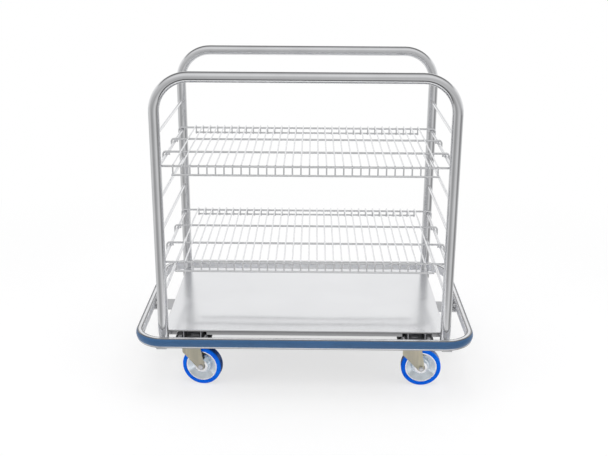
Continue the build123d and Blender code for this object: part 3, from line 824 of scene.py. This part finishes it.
class CASECART_OT_finish_deck(CartOperator):
    """Give the deck its satin sheet with painted shade on its flanges, and the parts under it their
    mill finish, darkened on the rails as painted shade
    """

    bl_idname = "casecart.finish_deck"
    bl_label = "Finish Deck and Base"

    def execute(self, context):
        dress(["deck_pan"], satin_deck_steel(self.metal))
        dress(BRACKET_NODES, mill_steel("mill_steel", self.metal.base_colour))
        # The rails take a darker colour, painted shade under the deck
        dress(RAIL_NODES, mill_steel("rail_steel", self.metal.rail_colour))
        return {"FINISHED"}


class CASECART_OT_finish_bumper(CartOperator):
    """Polish the bumper channel and colour its vinyl"""

    bl_idname = "casecart.finish_bumper"
    bl_label = "Finish Bumper"

    def execute(self, context):
        dress(["bumper_channel"], polished_channel_steel(self.metal))
        dress(["bumper_insert"], bumper_vinyl(self.plastic))
        return {"FINISHED"}


class CASECART_OT_finish_fasteners(CartOperator):
    """Plate the bolts, nuts and washers"""

    bl_idname = "casecart.finish_fasteners"
    bl_label = "Finish Fasteners"

    def execute(self, context):
        plated = bright_plate(self.metal)
        dress(FASTENER_NODES, plated)
        for corner in CORNERS:
            dress([f"{corner}_axle_bolt", f"{corner}_axle_nut"], plated)
        return {"FINISHED"}


class CASECART_OT_finish_casters(CartOperator):
    """Plate the forks, turn the wheel cores and colour the tyres"""

    bl_idname = "casecart.finish_casters"
    bl_label = "Finish Casters"

    def execute(self, context):
        zinc = yellow_zinc(self.metal)
        dull = dull_zinc(self.metal)
        bush = bush_steel(self.metal)
        dress(["race_balls"], ball_steel(self.metal))
        for corner in CORNERS:
            dress([f"{corner}_fork"], zinc)
            dress([f"{corner}_caster_plate", f"{corner}_kingpin"], dull)
            dress([f"{corner}_wheel_tread"], tyre_polyurethane(self.plastic, corner))
            dress([f"{corner}_wheel_core"], turned_core(self.metal, corner))
            dress([f"{corner}_wheel_bearing"], bush)
        return {"FINISHED"}


class CASECART_OT_make_rod_welds(CartOperator):
    """Lay a bead round each end of the side rods"""

    bl_idname = "casecart.make_rod_welds"
    bl_label = "Make Rod Welds"

    def lay_beads(self, bm, rods, post):
        """A bead wherever the rods of one side meet one post."""
        low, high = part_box(rods)
        rod_x, rod_radius = (low.x + high.x) / 2, (high.x - low.x) / 2
        post_low, post_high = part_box(post)
        post_y = (post_low.y + post_high.y) / 2
        post_radius = (post_high.y - post_low.y) / 2
        inward = -1.0 if post_y > 0 else 1.0
        for rod_z in evenly(low.z + rod_radius, high.z - rod_radius, self.welds.side_rods):

            def round_rod(angle):
                across, up = rod_radius * cos(angle), rod_radius * sin(angle)
                depth = inward * sqrt(post_radius**2 - across**2)
                place = Vector((rod_x + across, post_y + depth, rod_z + up))
                return place, Vector((cos(angle), 0.0, sin(angle)))

            lay_bead(bm, round_rod, self.welds.rod_bead, **ROD_BEAD)

    def execute(self, context):
        bm = bmesh.new()
        for rods in ROD_NODES:
            for post in TUBE_NODES:
                self.lay_beads(bm, rods, post)
        finish_piece("rod_welds", bm, "frame", weld_steel(self.metal))
        return {"FINISHED"}


class CASECART_OT_make_post_welds(CartOperator):
    """Lay a bead round the foot of each post"""

    bl_idname = "casecart.make_post_welds"
    bl_label = "Make Post Welds"

    def execute(self, context):
        bm = bmesh.new()
        bead = self.welds.post_bead
        for post in TUBE_NODES:
            low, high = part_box(post)
            radius = (high.y - low.y) / 2
            for post_x in (low.x + radius, high.x - radius):
                foot = Vector((post_x, (low.y + high.y) / 2, low.z + bead / 2))

                def round_post(angle):
                    out = Vector((cos(angle), sin(angle), 0.0))
                    return foot + out * radius, out

                lay_bead(bm, round_post, bead, **POST_BEAD)
        finish_piece("post_welds", bm, "frame", weld_steel(self.metal))
        return {"FINISHED"}


class CASECART_OT_make_wire_welds(CartOperator):
    """Put a weld wherever two shelf wires cross"""

    bl_idname = "casecart.make_wire_welds"
    bl_label = "Make Wire Welds"

    def add_nuggets(self, bm, shelf):
        welds = self.welds
        reach, long_radius = welds.nugget, welds.long_wire
        cross_low, cross_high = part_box(f"{shelf}_cross_wires")
        long_low, long_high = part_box(f"{shelf}_long_wires")
        lip_low, lip_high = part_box(f"{shelf}_lip_wires")
        cross_radius = (cross_high.z - long_high.z) / 2
        lip_radius = (lip_high.z - lip_low.z) / 2
        lip_z = (lip_low.z + lip_high.z) / 2
        first_x, last_x = cross_low.x + cross_radius, cross_high.x - cross_radius
        first_y, last_y = long_low.y + long_radius, long_high.y - long_radius
        for x in evenly(first_x, last_x, welds.shelf_wires):
            for y in evenly(first_y, last_y, welds.long_wires):
                add_nugget(bm, (x, y, long_high.z), (cross_radius, reach, reach / 2))
            for y in (lip_low.y + 2 * lip_radius, lip_high.y - 2 * lip_radius):
                add_nugget(bm, (x, y, lip_z), (cross_radius * 0.9, reach / 2, reach))

    def execute(self, context):
        weld = weld_steel(self.metal)
        for shelf in SHELVES:
            bm = bmesh.new()
            self.add_nuggets(bm, shelf)
            finish_piece(f"{shelf}_wire_welds", bm, f"{shelf}_shelf", weld)
        return {"FINISHED"}


# Studio


def studio_wall_material():
    """The studio that metal mirrors: white behind the cart, greyer and streaked elsewhere."""
    graph = ShaderGraph("studio_wall", (0.8, 0.8, 0.8), 0.0, 1.0)

    def light_at(angle, table):
        """Light by an angle in radians, from a table in degrees."""
        low, high = table[0][0], table[-1][0]
        node = graph.add("ShaderNodeValToRGB")
        for degrees, _ in table[1:-1]:
            node.color_ramp.elements.new((degrees - low) / (high - low))
        for element, (degrees, level) in zip(node.color_ramp.elements, table):
            element.position = (degrees - low) / (high - low)
            element.color = (level, level, level, 1.0)
        share = graph.spread(angle, in_low=radians(low), in_high=radians(high))
        graph.links.new(share, node.inputs["Fac"])
        return node.outputs["Color"]

    def fade(height, degrees, low, high):
        start, end = degrees
        return graph.spread(height, low, high, in_low=radians(start), in_high=radians(end))

    parts = graph.add("ShaderNodeSeparateXYZ")
    graph.links.new(graph.vectors("NORMALIZE", graph.place()), parts.inputs["Vector"])
    height = graph.maths("ARCSINE", parts.outputs["Z"])
    ahead = graph.maths("MULTIPLY", parts.outputs["Y"], -1.0)
    bearing = graph.maths("ARCTAN2", parts.outputs["X"], ahead)
    before = graph.spread(graph.maths("COSINE", bearing), in_low=-0.5, in_high=0.5)
    walls = graph.either(before, light_at(height, BACK_WALL), light_at(height, FRONT_WALL))
    foot = fade(height, RING_FOOT, 0.0, 1.0)
    in_ring = graph.maths("MULTIPLY", foot, fade(height, RING_TOP, 1.0, 0.0))
    glow = graph.add("ShaderNodeEmission")
    light = graph.either(in_ring, walls, light_at(bearing, WALL_RING))
    graph.links.new(light, glow.inputs["Strength"])
    graph.links.new(glow.outputs["Emission"], graph.surface())
    return graph.material


def floor_material(studio):
    """Matt pale floor that keeps a soft shadow and runs out to white with distance.

    Metal mirrors only the part of it near the cart; beyond that it mirrors the walls.
    """
    graph = ShaderGraph("studio_floor", studio.floor_colour, 0.0, 0.9)
    mottle = graph.noise(graph.place(), scale=3.0)
    colour = tuple(studio.floor_colour)
    graph.drive("Base Color", graph.blend(mottle, shade(colour, 0.995), colour))
    graph.shader.inputs["Specular IOR Level"].default_value = 0.0
    seen = graph.add("ShaderNodeLightPath")
    reach = graph.vectors("LENGTH", graph.place())

    def swap(amount, ray, first, second):
        """Puts the second shader in place of the first, for one kind of ray."""
        mixer = graph.add("ShaderNodeMixShader")
        graph.links.new(graph.maths("MULTIPLY", amount, seen.outputs[ray]), mixer.inputs[0])
        graph.links.new(first, mixer.inputs[1])
        graph.links.new(second, mixer.inputs[2])
        return mixer.outputs["Shader"]

    shadow_edge = studio.shadow_radius
    white = graph.spread(reach, studio.floor_share, 1.0, shadow_edge / 2, shadow_edge)
    white.node.interpolation_type = "SMOOTHSTEP"
    away = graph.spread(reach, in_low=studio.mirror_radius / 2, in_high=studio.mirror_radius)
    glow = graph.add("ShaderNodeEmission").outputs["Emission"]
    clear = graph.add("ShaderNodeBsdfTransparent").outputs["BSDF"]
    whitened = swap(white, "Is Camera Ray", graph.shader.outputs[0], glow)
    graph.links.new(swap(away, "Is Glossy Ray", whitened, clear), graph.surface())
    return graph.material


def add_area_lamp(name, place, size, power):
    lamp = bpy.data.lights.new(name, "AREA")
    lamp.shape = "RECTANGLE"
    lamp.size, lamp.size_y = size
    lamp.energy = power
    holder = bpy.data.objects.new(name, lamp)
    bpy.context.scene.collection.objects.link(holder)
    holder.location = place
    line = Vector(LAMP_TARGET) - Vector(place)
    holder.rotation_euler = line.to_track_quat("-Z", "Y").to_euler()
    holder.visible_glossy = False


class CASECART_OT_make_studio(CartOperator):
    """Make the floor, the studio walls, the lamps, the world and the camera"""

    bl_idname = "casecart.make_studio"
    bl_label = "Make Studio"

    def make_floor(self):
        bm = bmesh.new()
        bmesh.ops.create_circle(bm, cap_ends=True, segments=96, radius=self.studio.floor_radius)
        new_object("studio_floor", bm, floor_material(self.studio))

    def make_walls(self):
        bm = bmesh.new()
        radius = self.studio.wall_radius
        bmesh.ops.create_uvsphere(bm, u_segments=64, v_segments=32, radius=radius)
        walls = new_object("studio_wall", bm, studio_wall_material())
        walls.visible_camera = False
        walls.visible_diffuse = False
        walls.visible_shadow = False
        walls.visible_transmission = False

    def make_world(self):
        """White where it is seen or mirrored, and a soft fill elsewhere."""
        world = bpy.data.worlds.new("studio_world")
        bpy.context.scene.world = world
        world.use_nodes = True
        nodes, links = world.node_tree.nodes, world.node_tree.links
        rays = nodes.new("ShaderNodeLightPath").outputs
        seen = rays["Is Camera Ray"]
        for ray in ("Is Glossy Ray", "Is Transmission Ray"):
            either = nodes.new("ShaderNodeMath")
            either.operation = "MAXIMUM"
            links.new(seen, either.inputs[0])
            links.new(rays[ray], either.inputs[1])
            seen = either.outputs["Value"]
        level = nodes.new("ShaderNodeMapRange")
        level.inputs["To Min"].default_value = self.studio.world_fill
        level.inputs["To Max"].default_value = 1.0
        links.new(seen, level.inputs["Value"])
        ground = nodes["Background"]
        ground.inputs["Color"].default_value = (1.0, 1.0, 1.0, 1.0)
        links.new(level.outputs["Result"], ground.inputs["Strength"])

    def make_lamps(self):
        for name, place, size, power in LAMPS:
            add_area_lamp(name, place, size, getattr(self.studio, power))

    def make_camera(self):
        studio = self.studio
        pitch, yaw, roll = studio.camera_pitch, studio.camera_yaw, studio.camera_roll
        ahead = Vector((sin(yaw) * cos(pitch), cos(yaw) * cos(pitch), -sin(pitch)))
        right = Vector((cos(yaw), -sin(yaw), 0.0))
        down = ahead.cross(right)
        image_right = right * cos(roll) + down * sin(roll)
        image_down = down * cos(roll) - right * sin(roll)
        turn = Matrix((image_right, -image_down, -ahead)).transposed()
        lens = bpy.data.cameras.new("photo_camera")
        lens.lens = studio.camera_lens
        camera = bpy.data.objects.new("photo_camera", lens)
        bpy.context.scene.collection.objects.link(camera)
        camera.matrix_world = Matrix.Translation(studio.camera_place) @ turn.to_4x4()
        bpy.context.scene.camera = camera

    def execute(self, context):
        self.make_floor()
        self.make_walls()
        self.make_world()
        self.make_lamps()
        self.make_camera()
        context.scene.view_settings.view_transform = "Standard"
        return {"FINISHED"}


class CASECART_PT_sidebar(bpy.types.Panel):
    """Lists the cart's operators and settings"""

    bl_idname = "CASECART_PT_sidebar"
    bl_label = "Case Cart"
    bl_space_type = "VIEW_3D"
    bl_region_type = "UI"
    bl_category = "Case Cart"

    def draw(self, context):
        layout = self.layout
        for operator in OPERATORS:
            layout.operator(operator.bl_idname)
        for group in SETTINGS:
            settings = getattr(context.scene, group)
            box = layout.box()
            for name in settings.__annotations__:
                box.prop(settings, name)


OPERATORS = (
    CASECART_OT_finish_frames,
    CASECART_OT_finish_shelves,
    CASECART_OT_finish_deck,
    CASECART_OT_finish_bumper,
    CASECART_OT_finish_fasteners,
    CASECART_OT_finish_casters,
    CASECART_OT_make_rod_welds,
    CASECART_OT_make_post_welds,
    CASECART_OT_make_wire_welds,
    CASECART_OT_make_studio,
)
SETTINGS = {
    "case_cart_metal": CaseCartMetal,
    "case_cart_plastic": CaseCartPlastic,
    "case_cart_welds": CaseCartWelds,
    "case_cart_studio": CaseCartStudio,
}


def register():
    for group, settings in SETTINGS.items():
        bpy.utils.register_class(settings)
        setattr(bpy.types.Scene, group, PointerProperty(type=settings))
    for operator in OPERATORS:
        bpy.utils.register_class(operator)
    bpy.utils.register_class(CASECART_PT_sidebar)


def unregister():
    bpy.utils.unregister_class(CASECART_PT_sidebar)
    for operator in reversed(OPERATORS):
        bpy.utils.unregister_class(operator)
    for group, settings in SETTINGS.items():
        delattr(bpy.types.Scene, group)
        bpy.utils.unregister_class(settings)


def main():
    register()
    for operator in OPERATORS:
        category, name = operator.bl_idname.split(".")
        getattr(getattr(bpy.ops, category), name)()


if __name__ == "__main__":
    main()
